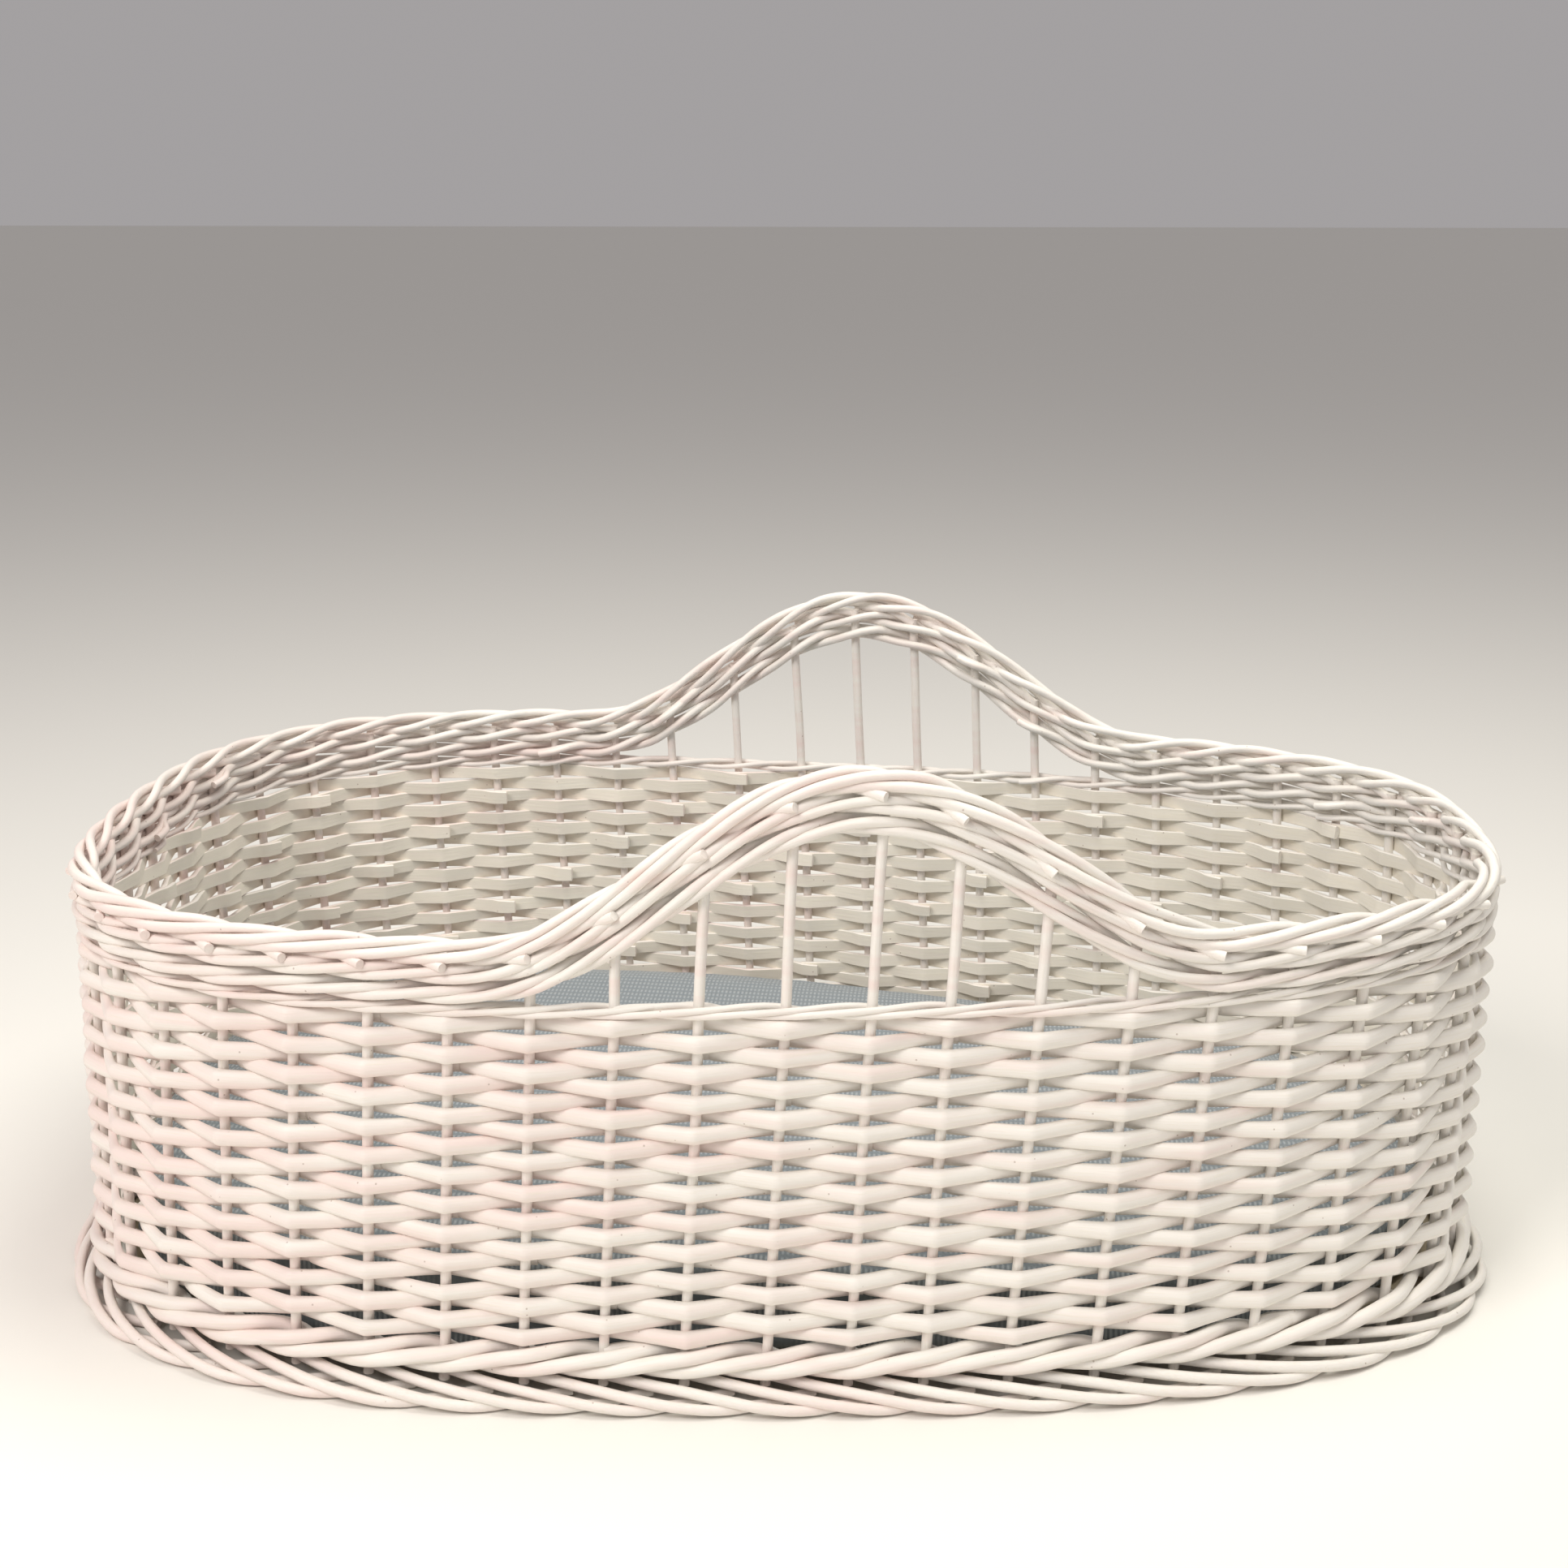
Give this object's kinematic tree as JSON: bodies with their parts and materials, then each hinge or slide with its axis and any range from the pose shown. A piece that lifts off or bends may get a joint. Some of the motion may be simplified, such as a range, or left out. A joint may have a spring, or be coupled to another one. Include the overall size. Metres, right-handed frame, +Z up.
{
  "type": "moses basket",
  "caption": "Oval cradle basket woven from painted willow, with two arched handles rising out of its long walls and a loose mattress inside.",
  "frame": {"origin": "centre of the bounding box on the ground, under the basket", "axes": "+X along the basket toward its narrower end, +Y toward the back wall, +Z up"},
  "size_m": [0.8197, 0.4957, 0.3342],
  "materials": {
    "painted_willow": "brushed satin paint",
    "plywood": "bare plywood",
    "mattress_fabric": "honeycomb cotton",
    "mattress_foam": "open-cell foam"
  },
  "bodies": {
    "basket": {"foot_border_outer": "painted_willow", "foot_border_inner": "painted_willow", "foot_border_upper": "painted_willow", "base_board": "plywood", "bottom_wale_1": "painted_willow", "bottom_wale_2": "painted_willow", "bottom_wale_3": "painted_willow", "weave_row_01": "painted_willow", "weave_row_02": "painted_willow", "weave_row_03": "painted_willow", "weave_row_04": "painted_willow", "weave_row_05": "painted_willow", "weave_row_06": "painted_willow", "weave_row_07": "painted_willow", "weave_row_08": "painted_willow", "weave_row_09": "painted_willow", "weave_row_10": "painted_willow", "weave_row_11": "painted_willow", "weave_row_12": "painted_willow", "weave_row_13": "painted_willow", "weave_row_14": "painted_willow", "weave_row_15": "painted_willow", "weave_row_16": "painted_willow", "weave_row_17": "painted_willow", "weave_row_18": "painted_willow", "weave_row_19": "painted_willow", "weave_row_20": "painted_willow", "weave_row_21": "painted_willow", "weave_row_22": "painted_willow", "fitch_1": "painted_willow", "fitch_2": "painted_willow", "top_wale_1": "painted_willow", "top_wale_2": "painted_willow", "top_wale_3": "painted_willow", "top_wale_4": "painted_willow", "top_border_1": "painted_willow", "top_border_2": "painted_willow", "handle_stakes_back": "painted_willow", "handle_stakes_front": "painted_willow", "end_stakes_left": "painted_willow", "end_stakes_right": "painted_willow"},
    "mattress": {"mattress_cover": "mattress_fabric", "mattress_core": "mattress_foam"}
  },
  "joints": [
    {"name": "mattress_lift", "type": "slide", "parent": "basket", "child": "mattress", "axis": [0, 0, 1], "range_m": [0, 0.35]}
  ]
}
